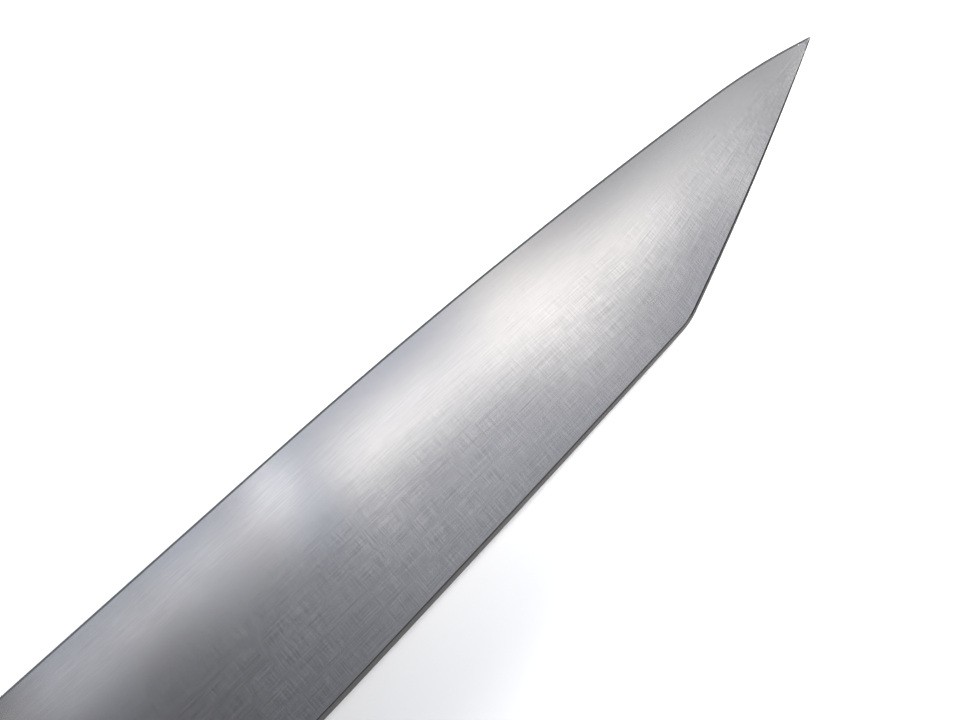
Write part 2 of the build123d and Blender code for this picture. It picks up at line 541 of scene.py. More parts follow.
def objectVector(tree):
    return addNode(tree, "ShaderNodeTexCoord").outputs["Object"]


def addTangent(tree, shader):
    tangent = addNode(tree, "ShaderNodeTangent", direction_type="UV_MAP", uv_map="grainMap")
    link(tree, tangent.outputs["Tangent"], shader.inputs["Tangent"])


grainMapScale = 10
grainMapRise = (7, 3)  # height counts too, so that upright walls have a direction as well


def addGrainMap(piece, places):  # a map whose first direction is that of the brushing
    grainMap = piece.data.uv_layers.new(name="grainMap")
    for corner in piece.data.loops:
        place = places[corner.vertex_index]
        z = piece.data.vertices[corner.vertex_index].co.z
        grainMap.data[corner.index].uv = [
            place[n] * grainMapScale + z * grainMapRise[n] for n in range(2)
        ]


bladeSteel = {
    "faceLight": (0.720, 0.712, 0.708),
    "faceDark": (0.482, 0.482, 0.489),
    "coolTint": (0.90, 0.95, 1.04),  # a faint blue cast, in patches
    "castScale": 26.0,
    "castRange": (0.35, 0.65),
    "castDepth": 0.12,
    # painted shade: the bevel, the back and the back past the knee are far darker than the face's steel,
    # standing in for the dark surroundings they reflect
    "bevel": (0.245, 0.260, 0.255),
    "back": (0.090, 0.083, 0.078),
    "pointBack": (0.018, 0.018, 0.019),
    "speck": (0.1, 0.1, 0.1),
    "roughness": (0.086, 0.098),
    "bevelRoughness": 0.10,
    "backRoughness": 0.5,
    "anisotropy": 0.6,
    "crossMarks": 0.50,
    "markShares": (0.5, 0.1),  # of fine and coarse marks in the colour
    "speckDepth": 0.12,
    "handlingSize": 70.0,
    "smudgeRoughness": 0.012,
    "bump": 0.005,
    "bumpDistance": 0.00001,
    "marksAlong": 190.0,
    "marksAcross": 4800.0,
    "marksFrom": (0.012, 0.021),  # heights between which the polished part ends
    "marksDepth": (0.22, 1.35),
}


def makeBladeSteel():
    material, tree, shader = startMaterial("bladeSteel")
    grain = addNode(tree, "ShaderNodeAttribute", attribute_name="grain")
    vector = grain.outputs["Vector"]
    values = {"Along": bladeSteel["marksAlong"], "Across": bladeSteel["marksAcross"]}
    values["Cross Marks"] = bladeSteel["crossMarks"]
    marks = placeGroup(tree, grindMarks, vector, values)
    hands = placeGroup(tree, handling, objectVector(tree), {"Size": bladeSteel["handlingSize"]})
    parts = addNode(tree, "ShaderNodeSeparateXYZ")
    link(tree, vector, parts.inputs[0])
    # masks for the painted shade of the back, of the back past the knee and of the bevel; the back and
    # bevel masks also set their roughness
    back = mathNode(tree, "ADD", parts.outputs[2], 0.0, clamp=True)
    pointBack = mathNode(tree, "SUBTRACT", parts.outputs[2], 1.0, clamp=True)
    bevel = mathNode(tree, "MULTIPLY", parts.outputs[2], -1.0, clamp=True)
    fineShare, coarseShare = bladeSteel["markShares"]
    tone = mathNode(tree, "MULTIPLY", marks.outputs["Fine"], fineShare)
    tone = mathNode(tree, "MULTIPLY_ADD", marks.outputs["Coarse"], coarseShare, tone)
    tone = mathNode(tree, "ADD", tone, marks.outputs["Cross"])
    depth = mapRange(tree, parts.outputs[1], *bladeSteel["marksFrom"], *bladeSteel["marksDepth"])
    tone = mathNode(tree, "SUBTRACT", tone, 0.5)
    tone = mathNode(tree, "MULTIPLY_ADD", tone, depth, 0.5, clamp=True)
    color = mixColor(tree, tone, bladeSteel["faceDark"], bladeSteel["faceLight"])
    cast = noise(tree, objectVector(tree), bladeSteel["castScale"], 1.0)
    cast = mapRange(tree, cast, *bladeSteel["castRange"], 0.0, bladeSteel["castDepth"])
    color = mixColor(tree, cast, color, bladeSteel["coolTint"], blend="MULTIPLY")
    specks = mathNode(tree, "MULTIPLY", hands.outputs["Specks"], bladeSteel["speckDepth"])
    color = mixColor(tree, specks, color, bladeSteel["speck"])
    # painted shade: the bevel, the back and the back past the knee are darkened here
    color = mixColor(tree, bevel, color, bladeSteel["bevel"])
    color = mixColor(tree, back, color, bladeSteel["back"])
    color = mixColor(tree, pointBack, color, bladeSteel["pointBack"])
    link(tree, color, shader.inputs["Base Color"])
    low, high = bladeSteel["roughness"]
    rough = mapRange(tree, marks.outputs["Fine"], 0.0, 1.0, high, low)
    rough = mathNode(tree, "MULTIPLY_ADD", hands.outputs["Smudge"], bladeSteel["smudgeRoughness"], rough)
    rough = mathNode(tree, "MULTIPLY_ADD", bevel, bladeSteel["bevelRoughness"] - low, rough)
    rough = mathNode(tree, "MULTIPLY_ADD", back, bladeSteel["backRoughness"] - low, rough)
    link(tree, rough, shader.inputs["Roughness"])
    shader.inputs["Metallic"].default_value = 1.0
    shader.inputs["Anisotropic"].default_value = bladeSteel["anisotropy"]
    addBump(tree, shader, marks.outputs["Height"], bladeSteel["bump"], bladeSteel["bumpDistance"])
    addTangent(tree, shader)
    return material


# the heel's own edge stops where the choil begins
neckBelly = toBlade(*handlePoint(0, handle["frontHeight"], 0)[:2])
choilCorner = neckBelly[1] + neckBelly[0] * math.tan(turn)
choilTop = choilCorner - blade["choilRadius"] * math.tan((math.pi / 2 - turn) / 2)
heelPart = choilTop / (blade["heelHeight"] - blade["easing"])


def sideProfile(along, bevelAngle):
    # one side of a cross-section, from the edge to the back: (across, half thickness, finish)
    edge, back = edgeDrop(along), backHeight(along)
    span = back - edge
    shrink = min(span / blade["pointThinning"], 1)
    edgeFlat = shrink * blade["edgeFlat"]
    behind = (shrink * blade["behindEdge"] - edgeFlat) / 2
    steeper = math.tan(math.radians(bevelAngle)) - faceSlope(along)
    bevel = min(behind / steeper, blade["bevelLimit"] * span)
    ease = min(blade["easing"], blade["easingLimit"] * span)
    support = min(blade["support"], blade["supportLimit"] * span)
    first, last = edge + bevel, back - ease
    heelRows = blade["heelRows"]
    parts = [heelPart * j / heelRows for j in range(heelRows)]
    rest = blade["faceRows"] - heelRows
    parts += [heelPart + (1 - heelPart) * j / rest for j in range(rest + 1)]
    places = [first + part * (last - first) for part in parts]
    rows = [(edge, edgeFlat / 2, -1.0), (first, halfThickness(along, first), -1.0)]
    places[0] = first + support
    places.insert(-1, last - support)
    rows += [(across, halfThickness(along, across), 0.0) for across in places]
    return rows + easedCorner(back, halfThickness(along, last), ease)


def easedCorner(back, half, ease):  # a narrow chamfer that rolls over into the back
    drop = min(ease, blade["cornerDepth"] * half)
    inPart, downPart = blade["cornerMiddle"]
    top = half - blade["cornerEnd"] * drop
    support = min(blade["support"], blade["supportLimit"] * half)
    middle = (back - inPart * ease, half - downPart * drop, 1.0)
    return [middle, (back, top, 1.0), (back, top - support, 1.0)]


def choilCurve(count):
    # from the top of the heel's edge, round the choil, to the bolster
    radius = blade["choilRadius"]
    sweep = math.pi / 2 - turn
    angles = [sweep * i / (count - 3) for i in range(count - 2)]
    curve = [(-radius + radius * math.cos(a), choilTop + radius * math.sin(a)) for a in angles]
    last = curve[-1]
    middle = ((last[0] + neckBelly[0]) / 2, (last[1] + neckBelly[1]) / 2)
    return curve + [middle, neckBelly]


def columnPlaces():  # where the blade is cut across, closer together at the knee and the point
    length = blade["length"]
    places = list(np.arange(0, length - blade["columnStep"], blade["columnStep"]))
    last = length - blade["pointBlunt"]
    reach = blade["kneeReach"]
    places += list(np.linspace(kneeAlong - reach, kneeAlong + reach, blade["kneeColumns"]))
    places += list(np.linspace(length - blade["pointReach"], last, blade["pointColumns"]))
    places = sorted(p for p in places if p <= last)
    kept = [places[0]]
    for p in places[1:]:
        if p - kept[-1] > blade["leastStep"]:
            kept.append(p)
    return kept


neckRow = blade["heelRows"] + 2  # the rows from here up run on into the neck
cornerRow = -4  # last row of the face, where the eased corner begins


def bladeVertex(bm, grain, along, across, z, wall, side):
    # wall is 1 on the back, 0 on the face and -1 on the bevel; it picks the painted shade of the back and
    # the bevel
    v = bm.verts.new(bladePoint(along, across, side * z))
    span = backHeight(along) - edgeDrop(along)
    part = (across - edgeDrop(along)) / span if span > 0 else 0
    height = part * blade["heelHeight"] + max(wall, 0) * z
    if wall > 0:  # the wall past the knee takes a darker painted shade
        wall *= 1 + min(max((along - kneeAlong) / blade["kneeShadeFade"], 0), 1)
    grain[v] = (along + (blade["sideShift"] if side < 0 else 0), height, wall)
    return v


def addGroundPart(bm, grain):  # from the heel to the point
    sides = ((1, blade["leftBevelAngle"]), (-1, blade["rightBevelAngle"]))
    columns = []
    for along in columnPlaces():
        column = []
        for side, bevelAngle in sides:
            profile = sideProfile(along, bevelAngle)
            column.append([bladeVertex(bm, grain, along, *row, side) for row in profile])
        columns.append(column)
    joinRows(bm, [left + right[::-1] for left, right in columns], closed=True)
    heel, point = columns[0], columns[-1]
    joinRows(bm, [rows[:neckRow + 1] for rows in heel])
    joinRows(bm, point)
    for side in (0, 1):
        for row in (0, 1, cornerRow):
            markSharp(bm, [column[side][row] for column in columns])
        markSharp(bm, heel[side][:neckRow + 1])
    return [rows[neckRow:] for rows in heel]


def addNeck(bm, grain, heel):  # on from the heel to the bolster, under the choil
    count = blade["neckColumns"]
    tops = choilCurve(count)
    rest = blade["faceRows"] - blade["heelRows"]
    parts = [j / rest for j in range(rest + 1)]
    parts.insert(-1, 1 - blade["support"] / (neckHeight - choilTop))
    columns = [heel]
    for i in range(1, count):
        topAlong, topAcross = tops[i]
        t = i / (count - 1)
        backAlong = -blade["neckLength"] * t
        back = backHeight(backAlong)
        faceEnd = back - blade["easing"]
        corner = easedCorner(back, halfThickness(backAlong, faceEnd), blade["easing"])
        column = []
        for side in (1, -1):
            rows = []
            for part in parts:
                along = topAlong + part * (backAlong - topAlong)
                across = topAcross + part * (faceEnd - topAcross)
                rows.append(bladeVertex(bm, grain, along, across, halfThickness(along, across), 0.0, side))
            rows += [bladeVertex(bm, grain, backAlong, *row, side) for row in corner]
            column.append(rows)
        columns.append(column)
    joinRows(bm, [left + right[::-1] for left, right in columns], closed=True)
    for side in (0, 1):
        for row in (0, cornerRow):
            markSharp(bm, [column[side][row] for column in columns])
    return columns[-1]


def addTang(bm, grain, neckEnd):  # behind the bolster's front, with its rivet holes
    outline = handleOutline(0.0)
    count = blade["tangHoleSegments"]
    holes = [circlePoints(place, rivet["socketRadius"], count) for place in rivet["places"].values()]
    flats = []
    for side, last in zip((1, -1), neckEnd):
        z = side * handle["tangHalf"]
        rings = [ringAt(bm, outline, z)] + [ringAt(bm, hole, z) for hole in holes]
        for ring in rings:
            for v in ring:
                grain[v] = (handleFront.x - v.co.x, v.co.y, blade["tangFinish"])
        fillFlat(bm, rings)
        flats.append(rings)
        markSharp(bm, rings[0], closed=True)
        bm.faces.new([rings[0][0], rings[0][-1], *last])
        markSharp(bm, last)
    for top, bottom in zip(*flats):
        joinRows(bm, [top, bottom], closed=top is not flats[0][0])
    for end, row in ((0, -1), (-1, 0)):  # what stands out past the neck's back and belly
        joinRows(bm, [[rings[0][end], last[row]] for rings, last in zip(flats, neckEnd)])


def makeBlade():
    bm = bmesh.new()
    grain = {}
    heel = addGroundPart(bm, grain)
    neckEnd = addNeck(bm, grain, heel)
    addTang(bm, grain, neckEnd)
    fixNormals(bm)
    return bm, [grain[v] for v in bm.verts]


# "grain" carries each vertex's place along the blade, its height on the face, and its finish, which also
# picks the painted shade of the back and the bevel
bladeMesh, grainValues = makeBlade()
bladePiece = newObject("knife_blade", bladeMesh, makeBladeSteel(), replaced=("blade",))
grainLayer = bladePiece.data.attributes.new("grain", "FLOAT_VECTOR", "POINT")
grainLayer.data.foreach_set("vector", [c for value in grainValues for c in value])
addGrainMap(bladePiece, [(height, along) for along, height, finish in grainValues])


bolster = {
    "length": 0.013,
    "frontStep": 0.0013,  # how far its front stands off the tang
    "scoopRadius": 0.011,
    "crestBlend": 0.0007,  # softened ridge between the scoop and the flat
    "edgeEase": 0.00035,
    "easeFade": 0.0015,  # the easing dies out where the scoop leaves the flat
    "leastEase": 0.00001,
    "columns": 44,
    "acrossSteps": 14,
    "sideSteps": 16,
    "tone": ((0.50, 0.495, 0.49), (0.63, 0.62, 0.61)),
    "roughness": (0.16, 0.24),
    "anisotropy": 0.5,
    "marks": {"Along": 160.0, "Across": 9000.0, "Cross Marks": 0.2},
    "handlingSize": 180.0,
    "smudgeShare": -0.25,
    "smudgeRoughness": 0.06,
    "bump": 0.15,
    "bumpDistance": 0.00001,
}


def makeBolsterSteel():
    material, tree, shader = startMaterial("bolsterSteel")
    turned = addNode(tree, "ShaderNodeMapping")
    turned.inputs["Rotation"].default_value = (0, 0, math.pi / 2)  # brushed across the handle
    link(tree, objectVector(tree), turned.inputs["Vector"])
    marks = placeGroup(tree, grindMarks, turned.outputs[0], bolster["marks"])
    hands = placeGroup(tree, handling, objectVector(tree), {"Size": bolster["handlingSize"]})
    smudge, coarse = hands.outputs["Smudge"], marks.outputs["Coarse"]
    tone = mathNode(tree, "MULTIPLY_ADD", smudge, bolster["smudgeShare"], coarse, clamp=True)
    link(tree, mixColor(tree, tone, *bolster["tone"]), shader.inputs["Base Color"])
    rough = mapRange(tree, marks.outputs["Fine"], 0.0, 1.0, *bolster["roughness"])
    rough = mathNode(tree, "MULTIPLY_ADD", smudge, bolster["smudgeRoughness"], rough)
    link(tree, rough, shader.inputs["Roughness"])
    shader.inputs["Metallic"].default_value = 1.0
    shader.inputs["Anisotropic"].default_value = bolster["anisotropy"]
    addBump(tree, shader, marks.outputs["Height"], bolster["bump"], bolster["bumpDistance"])
    addTangent(tree, shader)
    return material


def bolsterTop(behind):  # half height of the bolster, this far behind its front
    middle = handle["tangHalf"] + bolster["frontStep"] + bolster["scoopRadius"]
    reach = math.sqrt(max(bolster["scoopRadius"] ** 2 - behind ** 2, 0))
    scoop = middle - reach if behind < bolster["scoopRadius"] else middle
    return smoothMin(scoop, handle["halfThickness"], bolster["crestBlend"])


def sideInset(z):  # how far the handle's rounded edge stands in at a height
    rise = z - (handle["halfThickness"] - handle["rounding"])
    if rise <= 0:
        return 0.0
    return handle["rounding"] - math.sqrt(max(handle["rounding"] ** 2 - rise ** 2, 0))


def bolsterSection(behind, ease):
    # (inset, height) pairs up one side, from the tang to the top
    top = bolsterTop(behind)
    low = handle["tangHalf"]
    fade = min(max((handle["halfThickness"] - top) / bolster["easeFade"], 0), 1)
    ease = max(ease * fade, bolster["leastEase"])
    side = []
    steps = bolster["sideSteps"]
    for k in range(steps + 1):
        z = low + (top - low) * math.sin(math.pi / 2 * k / steps)
        over = max(z - (top - ease), 0)
        extra = ease - math.sqrt(max(ease ** 2 - over ** 2, 0))
        side.append((sideInset(z) + extra, z))
    return side


def makeBolster(side, name):
    bm = bmesh.new()
    count = bolster["columns"]
    places = [bolster["length"] * i / count for i in range(count + 1)]
    places.insert(1, bolster["edgeEase"] / 2)
    rings = []
    for i, behind in enumerate(places):
        shrink = bolster["edgeEase"] / 2 if i == 0 else 0
        width = bellyDown(behind)
        section = [(inset + shrink, z - shrink) for inset, z in bolsterSection(behind, bolster["edgeEase"])]
        section[0] = (section[0][0], handle["tangHalf"])
        topInset, topZ = section[-1]
        points = list(section)
        for j in range(1, bolster["acrossSteps"]):
            t = j / bolster["acrossSteps"]
            points.append((topInset + t * (width - 2 * topInset), topZ))
        points += [(width - inset, z) for inset, z in section[::-1]]
        rings.append([bm.verts.new(handlePoint(behind, down, side * z)) for down, z in points])
    joinRows(bm, rings, closed=True)
    for ring in (rings[0], rings[-1]):
        half = len(ring) // 2
        joinRows(bm, [ring[:half], ring[half:][::-1]])
        markSharp(bm, ring, closed=True)
    markSharp(bm, [ring[0] for ring in rings])
    markSharp(bm, [ring[-1] for ring in rings])
    fixNormals(bm)
    piece = newObject(name, bm, bolsterSteel, replaced=(name,))
    addGrainMap(piece, [(v.co.x, v.co.y) for v in piece.data.vertices])


bolsterSteel = makeBolsterSteel()
makeBolster(1, "bolster_left")
makeBolster(-1, "bolster_right")


def makeRivetSteel():
    material, tree, shader = startMaterial("rivetSteel")
    turned = addNode(tree, "ShaderNodeMapping")
    turned.inputs["Rotation"].default_value = (0, 0, rivet["marksTurn"])
    link(tree, objectVector(tree), turned.inputs["Vector"])
    marks = placeGroup(tree, grindMarks, turned.outputs[0], rivet["marks"])
    hands = placeGroup(tree, handling, objectVector(tree), {"Size": rivet["handlingSize"]})
    smudge, coarse = hands.outputs["Smudge"], marks.outputs["Coarse"]
    tone = mathNode(tree, "MULTIPLY_ADD", smudge, rivet["smudgeShare"], coarse, clamp=True)
    link(tree, mixColor(tree, tone, *rivet["tone"]), shader.inputs["Base Color"])
    rough = mapRange(tree, marks.outputs["Height"], *rivet["heightRange"], *rivet["roughness"])
    link(tree, rough, shader.inputs["Roughness"])
    shader.inputs["Metallic"].default_value = 1.0
    addBump(tree, shader, marks.outputs["Height"], rivet["bump"], rivet["bumpDistance"])
    return material


def latheProfile(bm, place, profile):  # profile: (radius, height) pairs, first and last on the axis
    count = rivet["segments"]
    rings = []
    for radius, z in profile:
        if radius == 0:
            rings.append([bm.verts.new(handlePoint(*place, z))] * count)
        else:
            rings.append(ringAt(bm, circlePoints(place, radius, count), z))
    joinRows(bm, rings, closed=True)
    for ring in rings:
        if ring[0] is not ring[1]:
            markSharp(bm, ring, closed=True)
    fixNormals(bm)


def easedHead(top, bottom, seat):  # from the axis on the outer face, down to the seat's radius
    head, ease, dome = rivet["headRadius"], rivet["ease"], rivet["dome"]
    roll = ease * rivet["easeRoll"]
    inward = math.copysign(1, bottom - top)
    return [
        (0, top),
        (head / 2, top + inward * dome / 4),
        (head - ease, top + inward * dome),
        (head - roll, top + inward * (dome + roll)),
        (head, top + inward * (dome + ease)),
        (head, bottom),
        (seat, bottom),
    ]


def makeRivetHalf(name, place, profile):
    bm = bmesh.new()
    latheProfile(bm, place, profile)
    newObject(name, bm, rivetSteel, replaced=(name,))


def makeRivet(name, place):
    outer = handle["halfThickness"]
    under = outer - rivet["headDepth"]
    tip = under - rivet["endGap"]
    stemRadius, socketRadius = rivet["stemRadius"], rivet["socketRadius"]
    stem = easedHead(outer, under, stemRadius) + [(stemRadius, -tip), (0, -tip)]
    makeRivetHalf(f"rivet_{name}_stem", place, stem)
    socket = easedHead(-outer, -under, socketRadius)
    socket += [(socketRadius, tip), (stemRadius, tip), (stemRadius, -under), (0, -under)]
    makeRivetHalf(f"rivet_{name}_socket", place, socket)


rivetSteel = makeRivetSteel()
for name, place in rivet["places"].items():
    makeRivet(name, place)

scale = {
    "darkWood": (0.016, 0.010, 0.007),
    "midWood": (0.060, 0.034, 0.020),
    "paleStreak": (0.115, 0.066, 0.038),
    "poreColor": (0.008, 0.005, 0.004),
    "grainTurn": (0.1, 0.06, 0.05),
    "grainStretch": (0.16, 1.0, 1.0),
    "bandScale": 110.0,  # how close the growth bands lie
    "bandDistortion": 3.0,
    "bandDetail": 3.0,
    "bandDetailScale": 1.6,
    "bandShares": (0.55, 0.45),  # of the bands and of the plain noise laid over them
    "bandRange": (0.2, 0.8),
    "noiseDetail": (90.0, 3.0, 0.5, 0.6),  # of that noise: scale, detail, roughness and distortion
    "pores": {"Along": 240.0, "Across": 3600.0, "Cross Marks": 0.0},
    "poreRange": (0.72, 0.9),
    "streakDepth": 0.55,
    "fibreHeight": 0.25,
    "bump": 0.5,
    "bumpDistance": 0.00005,
    "handlingSize": 60.0,
    "smudgeRoughness": 0.08,
    "roughness": (0.30, 0.46),
    "coat": 0.18,  # thin wax finish
    "coatRoughness": 0.28,
    "seam": 0.00003,  # hairline left round each rivet
    "rimEase": (0.00003, 0.00004),  # broken rim of each rivet's seat, across and down
    "rivetSupport": 0.00025,  # flat strips kept round the rivets and inside the rounding
    "roundingSupport": 0.0003,
}


def makeScaleWood():
    material, tree, shader = startMaterial("scaleWood")
    place = objectVector(tree)
    bent = addNode(tree, "ShaderNodeMapping")
    bent.inputs["Rotation"].default_value = scale["grainTurn"]
    bent.inputs["Scale"].default_value = scale["grainStretch"]
    link(tree, place, bent.inputs["Vector"])
    wave = noise(tree, bent.outputs[0], *scale["noiseDetail"])
    bands = addNode(tree, "ShaderNodeTexWave", wave_type="BANDS", bands_direction="Y", wave_profile="SIN")
    link(tree, bent.outputs[0], bands.inputs["Vector"])
    bands.inputs["Scale"].default_value = scale["bandScale"]
    bands.inputs["Distortion"].default_value = scale["bandDistortion"]
    bands.inputs["Detail"].default_value = scale["bandDetail"]
    bands.inputs["Detail Scale"].default_value = scale["bandDetailScale"]
    bandShare, waveShare = scale["bandShares"]
    bandTone = mathNode(tree, "MULTIPLY", wave, waveShare)
    bandTone = mathNode(tree, "MULTIPLY_ADD", bands.outputs["Fac"], bandShare, bandTone)
    bandTone = mapRange(tree, bandTone, *scale["bandRange"], 0.0, 1.0)
    fibres = placeGroup(tree, grindMarks, place, scale["pores"])
    hands = placeGroup(tree, handling, place, {"Size": scale["handlingSize"]})
    color = mixColor(tree, bandTone, scale["darkWood"], scale["midWood"])
    streak = mathNode(tree, "MULTIPLY", fibres.outputs["Coarse"], bandTone)
    streak = mathNode(tree, "MULTIPLY", streak, scale["streakDepth"])
    color = mixColor(tree, streak, color, scale["paleStreak"])
    pores = mapRange(tree, fibres.outputs["Fine"], *scale["poreRange"], 0.0, 1.0)
    color = mixColor(tree, pores, color, scale["poreColor"])
    link(tree, color, shader.inputs["Base Color"])
    rough = mapRange(tree, fibres.outputs["Fine"], 0.0, 1.0, *scale["roughness"])
    rough = mathNode(tree, "MULTIPLY_ADD", hands.outputs["Smudge"], scale["smudgeRoughness"], rough)
    link(tree, rough, shader.inputs["Roughness"])
    shader.inputs["Coat Weight"].default_value = scale["coat"]
    shader.inputs["Coat Roughness"].default_value = scale["coatRoughness"]
    height = mathNode(tree, "MULTIPLY", fibres.outputs["Coarse"], scale["fibreHeight"])
    height = mathNode(tree, "SUBTRACT", height, pores)
    addBump(tree, shader, height, scale["bump"], scale["bumpDistance"])
    return material


def addSeats(bm, side):  # the rivets' holes, each with a wider seat for the head
    top, low = handle["halfThickness"], handle["tangHalf"]
    seat = top - rivet["headDepth"]
    head = rivet["headRadius"] + scale["seam"]
    rimAcross, rimDown = scale["rimEase"]
    profile = [
        (head + scale["rivetSupport"], top),
        (head + rimAcross, top),
        (head, top - rimDown),
        (head, seat),
        (rivet["socketRadius"], seat),
        (rivet["socketRadius"], low),
    ]
    holes = []
    for place in rivet["places"].values():
        circles = [(circlePoints(place, radius, rivet["segments"]), z) for radius, z in profile]
        hole = [ringAt(bm, circle, side * z) for circle, z in circles]
        joinRows(bm, hole, closed=True)
        for edgeRing in hole[3:]:
            markSharp(bm, edgeRing, closed=True)
        holes.append(hole)
    return holes


def makeScale(side, name):
    bm = bmesh.new()
    outline = handleOutline(bolster["length"])
    normals = outlineNormals(outline)
    low, top, rounding = handle["tangHalf"], handle["halfThickness"], handle["rounding"]

    def ring(inset, z):
        moved = [(b + inset * nb, d + inset * nd) for (b, d), (nb, nd) in zip(outline, normals)]
        return ringAt(bm, moved, side * z)

    rings = [ring(0, low), ring(0, (low + top - rounding) / 2)]
    steps = handle["roundingSteps"]
    for k in range(steps + 1):
        angle = math.pi / 2 * k / steps
        rings.append(ring(rounding * (1 - math.cos(angle)), top - rounding * (1 - math.sin(angle))))
    rings.append(ring(rounding + scale["roundingSupport"], top))
    joinRows(bm, rings)
    for first, second in zip(rings, rings[1:]):  # the end that meets the bolster
        bm.faces.new([first[0], first[-1], second[-1], second[0]])
    holes = addSeats(bm, side)
    fillFlat(bm, [rings[-1]] + [hole[0] for hole in holes])
    fillFlat(bm, [rings[0]] + [hole[-1] for hole in holes])
    markSharp(bm, rings[0], closed=True)
    markSharp(bm, [r[0] for r in rings])
    markSharp(bm, [r[-1] for r in rings])
    markSharp(bm, [rings[-1][0], rings[-1][-1]])
    fixNormals(bm)
    newObject(name, bm, scaleWood, replaced=(name,))


scaleWood = makeScaleWood()
makeScale(1, "scale_left")
makeScale(-1, "scale_right")

stage = {
    "floorSize": 4.0,
    "floorPoints": 9,  # along each side
    "floorColor": (0.90, 0.90, 0.905),
    "floorRoughness": 0.9,
    "floorSpecular": 0.1,
    "mottleScale": 18.0,
    "mottleTone": 0.985,
    "floorGlow": (0.235, 0.62),  # near the knife and far out
    "glowFrom": (0.25, 1.6),
    "lens": 100.0,
    "sensor": 36.0,
    "distance": 0.371,
    "lean": 20.0,  # towards the back of the blade
    "roll": 41.7,
    "aimAlong": 0.0854,
    "aimAcross": 0.0101,
}


def makeFloor():
    bm = bmesh.new()
    half = stage["floorSize"] / 2
    places = np.linspace(-half, half, stage["floorPoints"])
    joinRows(bm, [[bm.verts.new((x, y, 0)) for x in places] for y in places])
    material, tree, shader = startMaterial("paleFloor")
    mottle = noise(tree, objectVector(tree), stage["mottleScale"], 3.0)
    mottle = mapRange(tree, mottle, 0.3, 0.7, 0.0, 1.0)
    pale = stage["floorColor"]
    dimmer = tuple(stage["mottleTone"] * c for c in pale)
    link(tree, mixColor(tree, mottle, pale, dimmer), shader.inputs["Base Color"])
    shader.inputs["Roughness"].default_value = stage["floorRoughness"]
    shader.inputs["Specular IOR Level"].default_value = stage["floorSpecular"]
    reach = addNode(tree, "ShaderNodeVectorMath", operation="LENGTH")
    link(tree, objectVector(tree), reach.inputs[0])
    glow = mapRange(tree, reach.outputs["Value"], *stage["glowFrom"], *stage["floorGlow"])
    link(tree, glow, shader.inputs["Emission Strength"])
    shader.inputs["Emission Color"].default_value = (1, 1, 1, 1)
    floor = newObject("studio_floor", bm, material, body=None)


def makeCamera():
    lean, roll = math.radians(stage["lean"]), math.radians(stage["roll"])
    back = Vector((0, -math.sin(lean), math.cos(lean)))
    alongView = Vector((1, 0, 0))
    acrossView = back.cross(alongView)
    right = math.cos(roll) * alongView - math.sin(roll) * acrossView
    up = math.sin(roll) * alongView + math.cos(roll) * acrossView
    bladeTurn = Matrix.Rotation(-turn, 3, "Z")
    axes = [bladeTurn @ v for v in (right, up, back)]
    matrix = Matrix([(axes[0][i], axes[1][i], axes[2][i]) for i in range(3)]).to_4x4()
    target = bladePoint(stage["aimAlong"], stage["aimAcross"], 0)
    matrix.translation = target + axes[2] * stage["distance"]
    data = bpy.data.cameras.new("mainCamera")
    data.lens = stage["lens"]
    data.sensor_width = stage["sensor"]
    data.clip_start = 0.01
    camera = bpy.data.objects.new("mainCamera", data)
    bpy.context.scene.collection.objects.link(camera)
    camera.matrix_world = matrix
    bpy.context.scene.camera = camera


# each lamp: direction from the blade's middle (along, towards the edge, up), distance, size, watts, colour
lamps = {
    "key": {
        "from": (0.70, 1.0, 0.40), "away": 1.2, "size": (1.1, 0.40),
        "watts": 23.5, "color": (1.0, 0.995, 0.99),
    },
    "fill": {
        "from": (1.0, -0.5, 1.1), "away": 1.2, "size": (0.6, 0.6),
        "watts": 0.3, "color": (1.0, 1.0, 1.0),
    },
}

# a soft spot washes out the shadow behind the point
wash = {
    "from": (0.45, -0.25, 1.3), "away": 1.0, "aim": (0.150, 0.054),
    "cone": 12.5, "radius": 0.05, "watts": 38.0,
}


def lampDirection(towards):
    along, edgeWard, rise = towards
    return (bladePoint(along, -edgeWard, rise) - bladePoint(0, 0, 0)).normalized()


def makeLamps():
    target = bladePoint(blade["length"] / 2, blade["heelHeight"] / 2, 0)
    for name, lamp in lamps.items():
        data = bpy.data.lights.new(name, "AREA")
        data.shape = "RECTANGLE"
        data.size, data.size_y = lamp["size"]
        data.energy = lamp["watts"]
        data.color = lamp["color"]
        light = bpy.data.objects.new(name, data)
        bpy.context.scene.collection.objects.link(light)
        direction = lampDirection(lamp["from"])
        light.location = target + direction * lamp["away"]
        light.rotation_euler = direction.to_track_quat("Z", "Y").to_euler()


def makeWash():
    data = bpy.data.lights.new("wash", "SPOT")
    data.energy = wash["watts"]
    data.spot_size = math.radians(wash["cone"])
    data.spot_blend = 1.0
    data.shadow_soft_size = wash["radius"]
    light = bpy.data.objects.new("wash", data)
    bpy.context.scene.collection.objects.link(light)
    direction = lampDirection(wash["from"])
    light.location = bladePoint(*wash["aim"], -midZ) + direction * wash["away"]
    light.rotation_euler = direction.to_track_quat("Z", "Y").to_euler()


